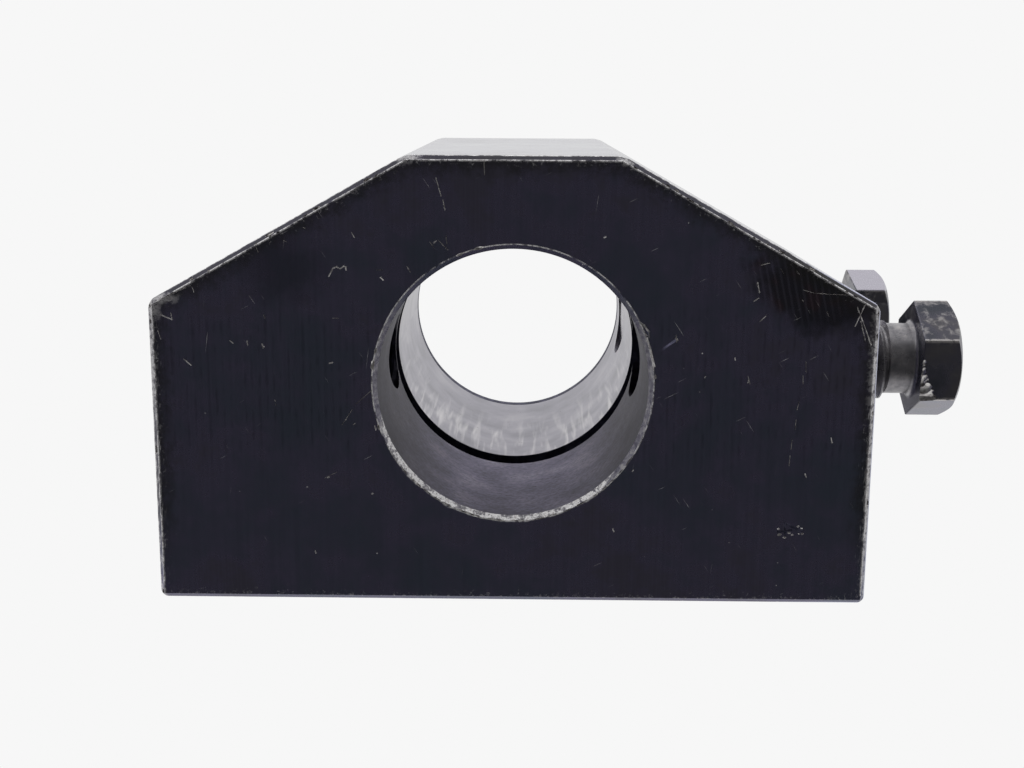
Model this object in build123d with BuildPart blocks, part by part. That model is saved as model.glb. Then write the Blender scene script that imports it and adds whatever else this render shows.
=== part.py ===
from build123d import *
from math import cos, pi, radians, tan
import os

# Sizes are in millimetres. X runs across the holder, Y along the bore from the
# front to the back, and Z up. The origin is the middle of the base.

# Block: a flat-bottomed steel bar with two sloping shoulders and a flat top.
block_width = 101.6
block_length = 76.2
block_height = 63.5
top_flat_width = 29.8
end_chamfer = 0.64
long_edge_chamfer = 0.3

# Bore for the boring bar's shank, with a groove turned inside it.
bore_diameter = 38.1
bore_height = block_height / 2
shoulder_above_bore = 11.45
bore_mouth_chamfer = 0.63
groove_width = 4.76
groove_depth = 2.4
groove_from_front = 31.75

# Tapped holes for the two clamp screws, in the right-hand wall.
thread_diameter = 12.7
thread_clearance = 0.05
front_screw_from_front = 23.4
rear_screw_from_back = 14.7
tapped_mouth_chamfer = 0.8
far_wall_drilling = 6.0

# Tapped holes in the base that hold the block down.
base_hole_from_side = 12.7
base_hole_from_end = 12.7
base_hole_depth = 19.0

# Clamp screws: a hexagon head, a plain neck under it and a threaded shank.
head_across_flats = 15.875
head_height = 6.0
crown_diameter = 15.1
crown_angle = 30.0
neck_diameter = 10.9
neck_length = 4.2
neck_flare = 0.8
thread_end_chamfer = 0.5
screw_length = 40.64
front_screw_standoff = 10.6
rear_screw_standoff = 9.1
front_screw_turn = 32.9
rear_screw_turn = 15.8

front_face = -block_length / 2
shoulder_height = bore_height + shoulder_above_bore
bore_radius = bore_diameter / 2
thread_radius = thread_diameter / 2
front_screw_y = front_face + front_screw_from_front
rear_screw_y = block_length / 2 - rear_screw_from_back
groove_y = front_face + groove_from_front
base_hole_spacing_x = block_width - 2 * base_hole_from_side
base_hole_spacing_y = block_length - 2 * base_hole_from_end

with BuildPart() as holder_block:
    with BuildSketch(Plane.XZ.offset(-front_face)):
        with BuildLine():
            Polyline(
                (-block_width / 2, 0),
                (block_width / 2, 0),
                (block_width / 2, shoulder_height),
                (top_flat_width / 2, block_height),
                (-top_flat_width / 2, block_height),
                (-block_width / 2, shoulder_height),
                close=True,
            )
        make_face()
    extrude(amount=-block_length)
    chamfer(holder_block.faces().sort_by(Axis.Y)[0].edges(), end_chamfer)
    chamfer(holder_block.faces().sort_by(Axis.Y)[-1].edges(), end_chamfer)
    chamfer(holder_block.edges().filter_by(Axis.Y), long_edge_chamfer)

    # The bore runs straight through, with a small chamfer at both mouths.
    with BuildSketch(Plane.XZ.offset(-front_face)):
        with Locations((0, bore_height)):
            Circle(bore_radius)
    extrude(amount=-block_length, mode=Mode.SUBTRACT)
    mouths = holder_block.edges().filter_by(GeomType.CIRCLE)
    chamfer(mouths, bore_mouth_chamfer)

    # The groove is turned into the wall of the bore, a little ahead of the middle.
    with BuildSketch(Plane.XZ.offset(-groove_y)):
        with Locations((0, bore_height)):
            Circle(bore_radius + groove_depth)
    extrude(amount=groove_width / 2, both=True, mode=Mode.SUBTRACT)

    # Both clamp holes go through the right-hand wall into the bore. The front one
    # cuts into the groove and has been drilled on into the far wall.
    with BuildSketch(Plane.YZ.offset(block_width / 2)):
        with Locations((front_screw_y, bore_height), (rear_screw_y, bore_height)):
            Circle(thread_radius)
    extrude(amount=-block_width / 2, mode=Mode.SUBTRACT)
    side_mouths = holder_block.faces().sort_by(Axis.X)[-1].edges().filter_by(GeomType.CIRCLE)
    chamfer(side_mouths, tapped_mouth_chamfer)
    with BuildSketch(Plane.YZ):
        with Locations((front_screw_y, bore_height)):
            Circle(thread_radius)
    extrude(amount=-bore_radius - far_wall_drilling, mode=Mode.SUBTRACT)

    # Four blind tapped holes in the base.
    with BuildSketch(Plane.XY):
        with GridLocations(base_hole_spacing_x, base_hole_spacing_y, 2, 2):
            Circle(thread_radius)
    extrude(amount=base_hole_depth, mode=Mode.SUBTRACT)
    base_mouths = holder_block.faces().sort_by(Axis.Z)[0].edges().filter_by(GeomType.CIRCLE)
    chamfer(base_mouths, tapped_mouth_chamfer)

# One clamp screw, modelled along X with the underside of its head at the origin.
corner_radius = head_across_flats / 2 / cos(pi / 6)
crown_drop = (corner_radius - crown_diameter / 2) * tan(radians(crown_angle))
shank_radius = thread_radius - thread_clearance
neck_radius = neck_diameter / 2

with BuildPart() as clamp_screw:
    with BuildSketch(Plane.YZ):
        RegularPolygon(corner_radius, 6)
    extrude(amount=head_height)

    # The crown: a shallow cone takes the corners off the outer end of the head.
    with BuildSketch(Plane.XY):
        with BuildLine():
            Polyline(
                (0, 0),
                (0, corner_radius),
                (head_height - crown_drop, corner_radius),
                (head_height, crown_diameter / 2),
                (head_height, 0),
                close=True,
            )
        make_face()
    revolve(axis=Axis.X, mode=Mode.INTERSECT)

    # The shank: a flared neck, then the thread's full diameter down to a flat tip.
    with BuildSketch(Plane.XY):
        with BuildLine():
            Polyline(
                (0, 0),
                (0, neck_radius + neck_flare),
                (-neck_flare, neck_radius),
                (-neck_length, neck_radius),
                (-neck_length, shank_radius - thread_end_chamfer),
                (-neck_length - thread_end_chamfer, shank_radius),
                (-screw_length + thread_end_chamfer, shank_radius),
                (-screw_length, shank_radius - thread_end_chamfer),
                (-screw_length, 0),
                close=True,
            )
        make_face()
    revolve(axis=Axis.X)

with BuildPart() as clamp_screw_front:
    with Locations(
        Location((block_width / 2 + front_screw_standoff, front_screw_y, bore_height), (front_screw_turn, 0, 0))
    ):
        add(clamp_screw.part)

with BuildPart() as clamp_screw_rear:
    with Locations(
        Location((block_width / 2 + rear_screw_standoff, rear_screw_y, bore_height), (rear_screw_turn, 0, 0))
    ):
        add(clamp_screw.part)

holder_block.part.label = "holder_block"
clamp_screw_front.part.label = "clamp_screw_front"
clamp_screw_rear.part.label = "clamp_screw_rear"

os.makedirs("parts", exist_ok=True)
export_step(holder_block.part, "parts/holder_block.step")
export_step(clamp_screw_front.part, "parts/clamp_screw_front.step")
export_step(clamp_screw_rear.part, "parts/clamp_screw_rear.step")

for piece in (holder_block, clamp_screw_front, clamp_screw_rear):
    box = piece.part.bounding_box()
    print(
        piece.part.label, "volume", round(piece.part.volume), "solids", len(piece.part.solids()),
        "x", round(box.min.X, 2), round(box.max.X, 2),
        "y", round(box.min.Y, 2), round(box.max.Y, 2),
        "z", round(box.min.Z, 2), round(box.max.Z, 2),
    )
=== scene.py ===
# %% [markdown]
# # A boring bar holder
# The real thing is a block of steel that stands on a lathe and grips the shank of a boring
# bar in its bore, with two hexagon-head screws in one side. The CAD model gives every size.
# This script starts from it and gives the block and its screws their real edges, threads,
# marks and worn black finish, in the same place and to the same millimetre.

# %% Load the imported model
import random
from functools import partial
from math import copysign, cos, exp, pi, radians, sin, tan

import bmesh
import bpy
from mathutils import Matrix, Vector, noise
from mathutils.geometry import intersect_point_line


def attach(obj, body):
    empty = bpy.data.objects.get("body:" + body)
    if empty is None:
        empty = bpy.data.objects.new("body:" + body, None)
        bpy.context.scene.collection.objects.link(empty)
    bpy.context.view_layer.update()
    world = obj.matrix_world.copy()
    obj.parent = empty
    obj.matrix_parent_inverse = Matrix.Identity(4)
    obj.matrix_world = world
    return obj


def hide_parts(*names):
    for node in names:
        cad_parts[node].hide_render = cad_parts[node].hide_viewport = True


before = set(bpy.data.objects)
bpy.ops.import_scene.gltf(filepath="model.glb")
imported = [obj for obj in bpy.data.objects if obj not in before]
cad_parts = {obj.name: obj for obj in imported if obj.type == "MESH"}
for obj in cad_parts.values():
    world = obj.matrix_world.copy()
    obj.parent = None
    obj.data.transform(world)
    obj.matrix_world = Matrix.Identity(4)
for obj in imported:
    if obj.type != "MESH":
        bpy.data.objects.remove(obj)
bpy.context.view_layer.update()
scene = bpy.context.scene

# %% [markdown]
# The camera comes first. It stands where a camera that was fitted to the block's edges
# stood: nearly square to the front face, a little above it and tipped down by about twelve
# degrees. Its three directions are written as the columns of a matrix, because that is all
# that a camera's rotation is.

# %% Camera
aim = Vector((-0.011318, 0.979319, -0.202007))
to_right = Vector((0.999903, 0.012718, 0.005634))
to_top = Vector((-0.008087, 0.201924, 0.979368))
camera = bpy.data.objects.new("camera", bpy.data.cameras.new("camera"))
camera.data.sensor_width = 36.0
camera.data.lens = 49.5
rotation = Matrix((to_right, to_top, -aim)).transposed().to_4x4()
camera.matrix_world = Matrix.Translation((0.00212, -0.23085, 0.07171)) @ rotation
scene.collection.objects.link(camera)
scene.camera = camera
print("lens", camera.data.lens, "mm, camera height", round(camera.location.z * 1000, 1), "mm")

# %% [markdown]
# All shapes are built in millimetres, as the drawing has them, and made metres at the very
# end. Round things are turned, as on a lathe: half an outline is drawn and spun about an
# axis. The outline is a list of pairs, the distance along the axis and the radius. Points
# that meet on the axis are merged, and the faces are then turned to point outwards.

# %% Turning
across, inward, upward = Vector((1, 0, 0)), Vector((0, 1, 0)), Vector((0, 0, 1))


def turned(outline, along, out, steps):
    """Spin a half outline about the axis 'along'; 'out' is the way the radius points."""
    bm = bmesh.new()
    points = [bm.verts.new(along * place + out * radius) for place, radius in outline]
    edges = [bm.edges.new(pair) for pair in zip(points, points[1:])]
    bmesh.ops.spin(
        bm, geom=points + edges, cent=(0, 0, 0), axis=along, angle=2 * pi, steps=steps, use_merge=True,
    )
    bmesh.ops.remove_doubles(bm, verts=bm.verts, dist=1e-4)
    bmesh.ops.recalc_face_normals(bm, faces=bm.faces)
    return bm


# %% [markdown]
# A thread is the same spin with a push along the axis at every step, so the outline climbs
# as it turns. The outline is one pitch long, from crest to crest, and each turn joins on to
# the last. The ragged ends are cut square with bisect_plane and capped, which leaves a
# closed threaded rod. A half-inch coarse thread has thirteen turns to the inch.

# %% Threaded rods
pitch = 25.4 / 13
turn_steps = 48


def threaded(crest, root, crest_flat, start, end, along, out):
    """A closed rod with a right-hand thread, from start to end along the axis."""
    flank = (crest - root) * tan(radians(30))
    foot = crest_flat + flank
    outline = [(0, crest), (crest_flat, crest), (foot, root), (pitch - flank, root), (pitch, crest)]
    turns = int((end - start) / pitch) + 4
    bm = bmesh.new()
    points = [bm.verts.new(along * (start - 2 * pitch + place) + out * radius) for place, radius in outline]
    edges = [bm.edges.new(pair) for pair in zip(points, points[1:])]
    bmesh.ops.spin(
        bm, geom=points + edges, cent=(0, 0, 0), axis=along, dvec=along * pitch / turn_steps,
        angle=2 * pi * turns, steps=turn_steps * turns,
    )
    bmesh.ops.remove_doubles(bm, verts=bm.verts, dist=1e-4)
    for place, way in ((start, -1), (end, 1)):
        bmesh.ops.bisect_plane(
            bm, geom=bm.verts[:] + bm.edges[:] + bm.faces[:], plane_co=along * place, plane_no=along * way,
            clear_outer=True,
        )
    bmesh.ops.holes_fill(bm, edges=[e for e in bm.edges if e.is_boundary], sides=0)
    bmesh.ops.recalc_face_normals(bm, faces=bm.faces)
    return bm


# %% [markdown]
# Holes and marks are cut with Boolean modifiers: each cutter is a closed solid, and the
# block keeps what is outside it. The cut surface takes the cutter's own material, so a bore
# comes out with the bore's finish and a nick with bare steel. Small helpers do the work:
# one finds the new points after a push or a copy, one bevels, one makes an object from a
# bmesh, one cuts, joins or keeps the common part, and one finishes a piece in metres.

# %% Objects and cuts
def points_in(geom):
    """The vertices among what an operator gives back."""
    return [item for item in geom if isinstance(item, bmesh.types.BMVert)]


def bevel(bm, edges, offset, segments):
    """Bevel these edges by this many millimetres."""
    bmesh.ops.bevel(
        bm, geom=edges, offset=offset, offset_type="OFFSET", affect="EDGES",
        segments=segments, profile=0.5, material=-1, clamp_overlap=True,
    )


def shape(bm, name, *materials):
    """Make an object from a bmesh, with these materials in its slots."""
    mesh = bpy.data.meshes.new(name)
    bm.to_mesh(mesh)
    bm.free()
    for material in materials:
        mesh.materials.append(material)
    made = bpy.data.objects.new(name, mesh)
    scene.collection.objects.link(made)
    return made


def combine(target, tool, operation, overlaps=False):
    """Cut the tool from the target, join it on, or keep what both share, and drop the tool."""
    step = target.modifiers.new("step", "BOOLEAN")
    step.operation = operation
    step.solver = "EXACT"
    step.material_mode = "TRANSFER"
    step.use_self = overlaps
    step.object = tool
    result = bpy.data.meshes.new_from_object(target.evaluated_get(bpy.context.evaluated_depsgraph_get()))
    target.modifiers.remove(step)
    old = target.data
    target.data = result
    bpy.data.meshes.remove(old)
    bpy.data.objects.remove(tool)


def finish_piece(piece, name, body, slot, *nodes):
    """Bring a piece to metres, set its shading, and let it stand for its CAD nodes."""
    piece.data.transform(Matrix.Scale(0.001, 4))
    piece.data.shade_smooth()
    piece.data.set_sharp_from_angle(angle=radians(28))
    tidy = piece.modifiers.new("weighted normals", "WEIGHTED_NORMAL")
    tidy.keep_sharp = True
    piece.name = piece.data.name = name
    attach(piece, body)
    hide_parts(*nodes)
    triangles = sum(len(face.vertices) - 2 for face in piece.data.polygons)
    print(name, "triangles", triangles, "materials", [m.name for m in piece.data.materials])


# %% [markdown]
# Colours are written as they look on a screen, as sRGB hex values, and one function turns
# them into the linear values that shaders need. One more function adds any node: first its
# kind, then the values of its inputs, in the order in which the node shows them. For Map
# Range that is the value, from min, from max, to min and to max. A name that starts with a
# capital is an input too, and any other name is a setting. A kind all in capitals is an
# operation of the Math node, because most of a pattern is sums. A node that is given as a
# value stands for its first output. Each metal comes with its own form of that function,
# called put, which already knows the material's node tree.

# %% Colours and nodes
def linear(colour):
    """Turn a colour such as '#5b5969' into a linear RGBA colour."""
    parts = [int(colour[i:i + 2], 16) / 255 for i in (1, 3, 5)]
    return tuple(c / 12.92 if c <= 0.04045 else ((c + 0.055) / 1.055) ** 2.4 for c in parts) + (1.0,)


def feed(node, *values, **named):
    """Fill inputs in their order or by name with numbers, colours, nodes or their outputs."""
    sockets = [socket for socket in node.inputs if socket.enabled]
    by_name = [(node.inputs[name.replace("_", " ")], value) for name, value in named.items()]
    for socket, value in [*zip(sockets, values), *by_name]:
        if isinstance(value, bpy.types.Node):
            value = next(output for output in value.outputs if output.enabled)
        if isinstance(value, bpy.types.NodeSocket):
            node.id_data.links.new(value, socket)
        else:
            socket.default_value = value


def add_node(tree, kind, *values, stops=(), **named):
    """Add a node with its settings and inputs, and the stops of a colour ramp."""
    node = tree.nodes.new("ShaderNode" + ("Math" if kind.isupper() else kind))
    if kind.isupper():
        node.operation = kind
    for name in [name for name in named if name.islower()]:
        setattr(node, name, named.pop(name))
    feed(node, *values, **named)
    for number, (position, colour) in enumerate(stops):
        if number > 1:
            node.color_ramp.elements.new(position)
        node.color_ramp.elements[number].position = position
        node.color_ramp.elements[number].color = linear(colour)
    return node


def metal(name, roughness, metallic=1.0):
    """Start a metal; give it back with its put, its shader and each point's place in millimetres."""
    made = bpy.data.materials.new(name)
    made.use_nodes = True
    shader = made.node_tree.nodes["Principled BSDF"]
    feed(shader, Metallic=metallic, Roughness=roughness)
    put = partial(add_node, made.node_tree)
    millimetres = put("Mapping", put("TexCoord").outputs["Object"], Scale=(1000, 1000, 1000))
    return made, put, shader, millimetres


# %% [markdown]
# The outside of the block is ground steel with black oxide. Grinding leaves fine parallel
# lines a few tenths of a millimetre apart. Black oxide is a thin, hard, oily skin, so it
# still shines like metal, only much darker, and it is never even: it shifts from blue to
# purple to brown. It wears off first along edges and corners, where bare steel shows.
#
# The wear needs to know how far each point is from an edge. The block is made of flat
# faces, so that is arithmetic: the distance to each face's plane, and the larger of the two
# smallest is the distance to the nearest edge.

# %% Black oxide: where the edges are
half_width, half_length, height, shoulder, half_flat = 50.8, 38.1, 63.5, 43.2, 14.9
bore_radius, bore_height = 19.05, 31.75
oxide, put, shader, mm = metal("black_oxide_on_ground_steel", 0.26, 0.85)
at_x, at_y, at_z = put("SeparateXYZ", mm).outputs
abs_x = put("ABSOLUTE", at_x)
abs_y = put("ABSOLUTE", at_y)
to_side = put("SUBTRACT", half_width, abs_x)
to_end = put("SUBTRACT", half_length, abs_y)
to_flat = put("SUBTRACT", height, at_z)

slope_length = ((half_width - half_flat) ** 2 + (height - shoulder) ** 2) ** 0.5
slope_x, slope_z = (height - shoulder) / slope_length, (half_width - half_flat) / slope_length
slope_reach = slope_x * half_width + slope_z * shoulder
lean = put("MULTIPLY", abs_x, slope_x)
rise = put("MULTIPLY_ADD", at_z, slope_z, lean)
to_slope = put("SUBTRACT", slope_reach, rise)

upper = put("MINIMUM", to_flat, to_slope)
lower = put("MINIMUM", to_side, at_z)
to_outline = put("MINIMUM", upper, lower)
end_edge = put("MAXIMUM", to_outline, to_end)
top_edge = put("MAXIMUM", to_flat, to_slope)
shoulder_edge = put("MAXIMUM", to_side, to_slope)
base_edge = put("MAXIMUM", to_side, at_z)
top_distance = put("MULTIPLY", top_edge, 1 / slope_x)
high_edge = put("MINIMUM", top_distance, shoulder_edge)
long_edge = put("MINIMUM", high_edge, base_edge)
over_bore = put("SUBTRACT", at_z, bore_height)
across_bore = put("CombineXYZ", at_x, 0.0, over_bore)
from_bore = put("VectorMath", across_bore, operation="LENGTH")
print("slope normal", round(slope_x, 4), round(slope_z, 4), "reach", round(slope_reach, 2), "mm")

# %% [markdown]
# The grinding lines run up and down on the two ends and along the block everywhere else. A
# noise texture that is squeezed one way and stretched the other gives such lines. Real ones
# are nearer 0.1 mm apart, which is too fine to show here, so they are drawn 0.3 mm apart.
# Half-way up the front the grinding wheel bounced as well, and left rows of short dark
# strokes a millimetre apart: a sine across the face, broken up by a stretched noise.

# %% Black oxide: grinding lines and colour
line_spacing, line_length = 0.3, 14
line_x = put("MULTIPLY", at_x, 1 / line_spacing)
line_z = put("MULTIPLY", at_z, 1 / line_length)
line_y = put("MULTIPLY", at_y, 1 / line_length)
end_lines = put("CombineXYZ", line_x, line_y, line_z)
side_z = put("MULTIPLY", at_z, 1 / line_spacing)
side_lines = put("CombineXYZ", 7.0, line_y, side_z)
on_side = put("LESS_THAN", to_side, 0.05)
lines_at = put("Mix", on_side, end_lines, side_lines, data_type="VECTOR")
grain = put("TexNoise", lines_at, Scale=1.0, Detail=2.0)
broad = put("TexNoise", mm, Scale=1 / 15, Detail=6.0, Roughness=0.7)
skin = put("ValToRGB", broad, stops=(
    (0.36, "#5d6375"), (0.46, "#626378"), (0.54, "#69657e"), (0.64, "#646173"),
))
streak = put("MapRange", grain, 0.35, 0.68, 0.95, 1.05)
at_front = put("LESS_THAN", at_y, -37.3)
ripple_spacing = 1.02
ripple_phase = put("MULTIPLY", at_x, 2 * pi / ripple_spacing)
ripple_wave = put("SINE", ripple_phase)
ripple_at = put("Mapping", mm, Scale=(1.1, 40, 2.4), vector_type="TEXTURE")
ripple_break = put("TexNoise", ripple_at, Scale=1.0, Detail=1.0)
ripple_sum = put("MULTIPLY_ADD", ripple_break, 5.0, ripple_wave)
ripple_line = put("MapRange", ripple_sum, 3.1, 4.1)
near_middle = put("ABSOLUTE", over_bore)
ripple_zone = put("MapRange", near_middle, 14.0, 8.0)
ripple_there = put("MULTIPLY", ripple_line, ripple_zone)
ripple = put("MULTIPLY", ripple_there, at_front)
ripple_tone = put("MULTIPLY_ADD", ripple, -0.18, streak)
skin_lined = put("VectorMath", skin, ripple_tone, operation="MULTIPLY")
print("grinding lines", line_spacing, "mm apart, ripple", ripple_spacing, "mm apart")

# %% [markdown]
# Under the right-hand slope the face has a browner patch with a row of steep chatter
# marks, left by a cutter that bounced: they are 0.88 mm apart and lean a little. The patch
# is also painted darker, as painted shade under the slope. A sine wave across the lines
# makes the marks. A Mapping node of the texture kind takes a centre, a turn and three half
# sizes, so the length of what it gives is 1 on the edge of an oval. Along the edges of the
# ends the coat is sootier, almost olive, and so it is where the face is wrinkled. On the
# bore's mouth the coat is rubbed to the grey of the bore.

# %% Black oxide: the brown patch with its painted shade, and its chatter marks
ragged = put("TexNoise", mm, Scale=1 / 2.2, Detail=3.0)


def oval(x, z, sizes, turn=0.0):
    """How far a point is from the middle of an oval on the front face, as a share of its size."""
    middle, turned_by = (x, -half_length, z), (0, radians(turn), 0)
    placed = put("Mapping", mm, Location=middle, Rotation=turned_by, Scale=sizes, vector_type="TEXTURE")
    return put("VectorMath", placed, operation="LENGTH")


patch_reach = put("MULTIPLY_ADD", ragged, 0.8, oval(41.0, 45.2, (10.4, 4, 6.0), 26))
chatter_reach = put("MULTIPLY_ADD", ragged, 0.8, oval(39.0, 46.0, (7.0, 4, 4.6), 26))
patch_with_painted_shade = put("MapRange", patch_reach, 1.5, 0.9, 0, 0.9, interpolation_type="SMOOTHSTEP")
chatter_here = put("MapRange", chatter_reach, 1.5, 1.0)
leaning = put("Mapping", mm, Rotation=(0, radians(12), 0))
leaning_xyz = put("SeparateXYZ", leaning)
swung = put("MULTIPLY_ADD", ragged, 0.35, leaning_xyz.outputs["X"])
chatter_spacing = 0.88
phase = put("MULTIPLY", swung, 2 * pi / chatter_spacing)
wave = put("SINE", phase)
crest = put("MapRange", wave, 0.0, 0.95)
chatter = put("MULTIPLY", crest, chatter_here)
brown_noise = put("TexNoise", mm, Scale=1 / 3.5, Detail=2.0)
# The brown patch is also painted darker: painted shade under the right-hand slope.
brown_and_painted_shade = put("ValToRGB", brown_noise, stops=((0.38, "#37373f"), (0.54, "#39373d"), (0.66, "#42363a")))
patched_with_painted_shade = put("Mix", patch_with_painted_shade, skin_lined, brown_and_painted_shade, data_type="RGBA")
chatter_tone = put("MapRange", chatter, 0, 1, 0.92, 1.55)
chattered = put("VectorMath", patched_with_painted_shade, chatter_tone, operation="MULTIPLY")
sooty = put("TexNoise", mm, Scale=1 / 1.6, Detail=6.0, Roughness=0.75)
near_outline = put("MULTIPLY_ADD", sooty, -6.0, end_edge)
soot = put("MapRange", near_outline, 0.6, -2.6, 0, 0.7, interpolation_type="SMOOTHSTEP")
off_floor = put("MapRange", at_z, 4.0, 14.0)
soot_here = put("MULTIPLY", soot, off_floor)
sooted = put("Mix", soot_here, chattered, linear("#3b3b38"), data_type="RGBA")
dark_ragged = put("MULTIPLY_ADD", sooty, 1.2, oval(-31.8, 47.6, (7.0, 3.0, 5.4)))
dark_place = put("MapRange", dark_ragged, 1.7, 1.0, 0, 0.45)
darkened = put("Mix", dark_place, sooted, linear("#3a3a45"), data_type="RGBA")
mouth_shade = put("TexNoise", mm, Scale=1 / 0.8, Detail=4.0, Roughness=0.7)
mouth_colour = put("ValToRGB", mouth_shade, stops=((0.34, "#504e58"), (0.5, "#75737c"), (0.64, "#9a9899")))
in_mouth = put("MapRange", from_bore, 19.7, 19.64)
below_top = put("MapRange", over_bore, 15.0, 6.0, 0, 0.85)
mouth_here = put("MULTIPLY", in_mouth, below_top)
coat = put("Mix", mouth_here, darkened, mouth_colour, data_type="RGBA")
print("chatter marks", chatter_spacing, "mm apart")

# %% [markdown]
# Wear is added where the coat has gone. The two edges of each end chamfer are bright broken
# lines, worn coat that is also a painted highlight for the light a slightly rounded edge
# would catch, with a fringe of short marks beside them, and steep fine strokes run along
# both sides of the front. The corners and parts of the sides are scraped over a few
# millimetres: ovals again, made ragged by noise. The mouth of the bore has a thin bright
# line round it, and its lower rim, where bars were knocked in, is bare in an uneven band.

# %% Black oxide: worn edges with painted highlights, corners and rim
edge_noise = put("TexNoise", mm, Scale=1 / 3, Detail=6.0, Roughness=0.7)
# The chamfer's edge line is worn coat and partly a painted highlight of the edge.
line_in = put("MapRange", end_edge, 0.52, 0.6)
line_out = put("MapRange", end_edge, 0.9, 0.7)
edge_break = put("MapRange", edge_noise, 0.38, 0.5)
edge_band = put("MULTIPLY", line_in, line_out)
above_floor = put("GREATER_THAN", at_z, 1.2)
edge_broken = put("MULTIPLY", edge_band, edge_break)
edge_wear_and_painted_highlight = put("MULTIPLY", edge_broken, above_floor)

fringe_noise = put("TexNoise", mm, Scale=1 / 0.45, Detail=3.0, Roughness=0.7, Distortion=0.5)
fringe_reach = put("MULTIPLY_ADD", fringe_noise, -8.0, end_edge)
fringe_marks = put("MapRange", fringe_reach, -3.5, -4.6, 0, 0.45)
fringe = put("MULTIPLY", fringe_marks, line_in)

corner_noise = put("TexNoise", mm, Scale=1 / 0.9, Detail=4.0, Roughness=0.7)
corner_reach = put("MULTIPLY_ADD", corner_noise, -4.4, long_edge)
corner = put("MapRange", corner_reach, -1.9, -2.5, 0, 0.8)

stroke_at = put("Mapping", mm, Rotation=(0, radians(5), 0), Scale=(0.2, 2.0, 2.4), vector_type="TEXTURE")
stroke = put("TexNoise", stroke_at, Scale=1.0, Detail=2.0)
stroke_reach = put("MULTIPLY_ADD", stroke, -8.0, to_side)
side_strokes = put("MapRange", stroke_reach, -3.6, -4.8, 0, 0.8)
strokes_front = put("MULTIPLY", side_strokes, at_front)

scraped = None
for x, z, wide, tall in (
    (50.4, 35.5, 1.15, 10.0), (50.5, 16.0, 0.7, 15.0), (-50.4, 42.2, 1.8, 2.2), (-48.6, 43.6, 2.6, 1.0),
    (-50.7, 0.6, 0.9, 2.4), (-14.6, 63.2, 2.6, 1.0), (15.3, 62.9, 1.7, 0.8), (-50.7, 34.0, 1.0, 9.0),
):
    reach = oval(x, z, (wide, 2.0, tall))
    scraped = put("MINIMUM", scraped, reach) if scraped else reach
scrape_reach = put("MULTIPLY_ADD", corner_noise, -2.2, scraped)
scrape = put("MapRange", scrape_reach, -0.1, -0.8, 0, 0.52)

rim_lean = put("MULTIPLY_ADD", at_x, 0.25, over_bore)
rim_low = put("MapRange", rim_lean, -4.0, -13.0, -0.9, 0.98)
rim_wander = put("MULTIPLY_ADD", edge_noise, -0.9, from_bore)
rim_reach = put("SUBTRACT", rim_wander, rim_low)
rim_near = put("MapRange", rim_reach, 18.5, 18.3)
rim_patchy = put("MapRange", corner_noise, 0.4, 0.52, 0.25)
rim_broken = put("MULTIPLY", rim_near, rim_patchy)
rim = put("MULTIPLY", rim_broken, at_front)
from_mouth = put("COMPARE", from_bore, 19.74, 0.09)
mouth_line = put("MULTIPLY", from_mouth, edge_break)
mouth_front = put("MULTIPLY", mouth_line, at_front)
print("nodes so far", len(oxide.node_tree.nodes))

# %% [markdown]
# A few short scratches lie all over: stretched noise, cut off so high that only its peaks
# are left, drawn three times at different slants. Specks are the middles of scattered
# cells. All bare places are then joined by taking the greatest, and mixed over the coat.
# A thin bluish line on the outermost edge at the right is a painted highlight of that edge.

# %% Black oxide: scratches, specks and the finished colour
strips = []
for slant, length, width, offset in ((8, 6.0, 0.13, 0.0), (-34, 4.0, 0.11, 40.0), (63, 4.0, 0.12, 90.0)):
    turned_by = (radians(slant), radians(slant), 0)
    slanted = put(
        "Mapping", mm, Location=(offset, offset, offset), Rotation=turned_by, Scale=(width, length, length),
        vector_type="TEXTURE",
    )
    strip = put("TexNoise", slanted, Scale=1.0, Detail=0.0)
    strips.append(put("MapRange", strip, 0.87, 0.91, 0, 0.7))
scratch = put("MAXIMUM", strips[0], strips[1])
scratches = put("MAXIMUM", scratch, strips[2])

cells = put("TexVoronoi", mm, Scale=1 / 2.4, Randomness=1.0)
cell_pick = put("SeparateColor", cells.outputs["Color"])
picked = put("GREATER_THAN", cell_pick.outputs["Red"], 0.82)
dot = put("MapRange", cells.outputs["Distance"], 0.055, 0.03)
specks = put("MULTIPLY", dot, picked)

# The chamfer's edge line in this sum is partly a painted highlight.
bare = edge_wear_and_painted_highlight
for more in (fringe, corner, strokes_front, scrape, rim, mouth_front, scratches, specks):
    bare = put("MAXIMUM", bare, more)
bare_colour = put("ValToRGB", corner_noise, stops=(
    (0.34, "#6f6d74"), (0.44, "#a5a2a4"), (0.53, "#f2f1f2"), (0.68, "#aaa4a5"),
))
worn = put("Mix", bare, coat, bare_colour, data_type="RGBA")
# Painted highlight: a thin bright bluish line on the outermost edge at the right of the front.
outermost = put("MapRange", to_outline, 0.17, 0.09, 0, 0.9)
right_side = put("MapRange", at_x, 38.0, 46.0)
painted_edge_highlight = put("MULTIPLY", outermost, right_side)
painted_edge_highlight_front = put("MULTIPLY", painted_edge_highlight, at_front)
colour = put("Mix", painted_edge_highlight_front, worn, linear("#c8cadf"), data_type="RGBA")
feed(shader, Base_Color=colour)
print("nodes so far", len(oxide.node_tree.nodes))

# %% [markdown]
# The lines and marks are also shallow hollows, so they catch the light. A Bump node turns
# the same patterns into slopes. Their depth is only a few thousandths of a millimetre.
# Ground steel looks dull from above and almost like a mirror along its lines at a low
# angle, so the Layer Weight node brings the roughness down where the view grazes. Torn
# steel is many tiny facets that scatter light every way, so the bare places are made less
# metallic than the coat: they stay bright from wherever they are seen.

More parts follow.
